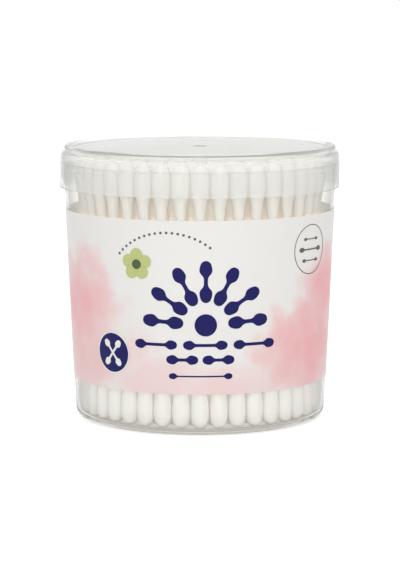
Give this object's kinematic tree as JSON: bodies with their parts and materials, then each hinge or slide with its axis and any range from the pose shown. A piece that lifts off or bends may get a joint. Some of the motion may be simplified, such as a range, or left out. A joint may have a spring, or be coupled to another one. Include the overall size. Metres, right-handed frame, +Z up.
{
  "type": "cotton swab tub",
  "caption": "Round clear plastic tub with a push-on lid and a wrap-round label, filled with rings of standing cotton swabs.",
  "frame": {"origin": "centre of the base, on the surface that the tub stands on", "axes": "+Z up along the tub's axis, -Y towards the front as pictured, -X towards the lid's lift lip"},
  "size_m": [0.0802, 0.08, 0.0779],
  "materials": {
    "tub_plastic": "clear natural polypropylene, slightly milky, gloss",
    "lid_plastic": "clear natural polypropylene, slightly milky, gloss",
    "label_film": "off-white satin film with a soft pink wash and plain printed shapes",
    "stick_paper": "tightly rolled white paper, matt",
    "cotton": "soft matt wound cotton"
  },
  "bodies": {
    "tub": {"tub": "tub_plastic", "label": "label_film", "sticks_ring_1": "stick_paper", "sticks_ring_2": "stick_paper", "sticks_ring_3": "stick_paper", "sticks_ring_4": "stick_paper", "sticks_ring_5": "stick_paper", "sticks_ring_6": "stick_paper", "sticks_ring_7": "stick_paper", "top_tips_ring_1": "cotton", "top_tips_ring_2": "cotton", "top_tips_ring_3": "cotton", "top_tips_ring_4": "cotton", "top_tips_ring_5": "cotton", "top_tips_ring_6": "cotton", "top_tips_ring_7": "cotton", "foot_tips_ring_1": "cotton", "foot_tips_ring_2": "cotton", "foot_tips_ring_3": "cotton", "foot_tips_ring_4": "cotton", "foot_tips_ring_5": "cotton", "foot_tips_ring_6": "cotton", "foot_tips_ring_7": "cotton"},
    "lid": {"lid": "lid_plastic"}
  },
  "joints": [
    {"name": "lid_lift", "type": "slide", "parent": "tub", "child": "lid", "axis": [0, 0, 1], "range_m": [0, 0.05]}
  ]
}
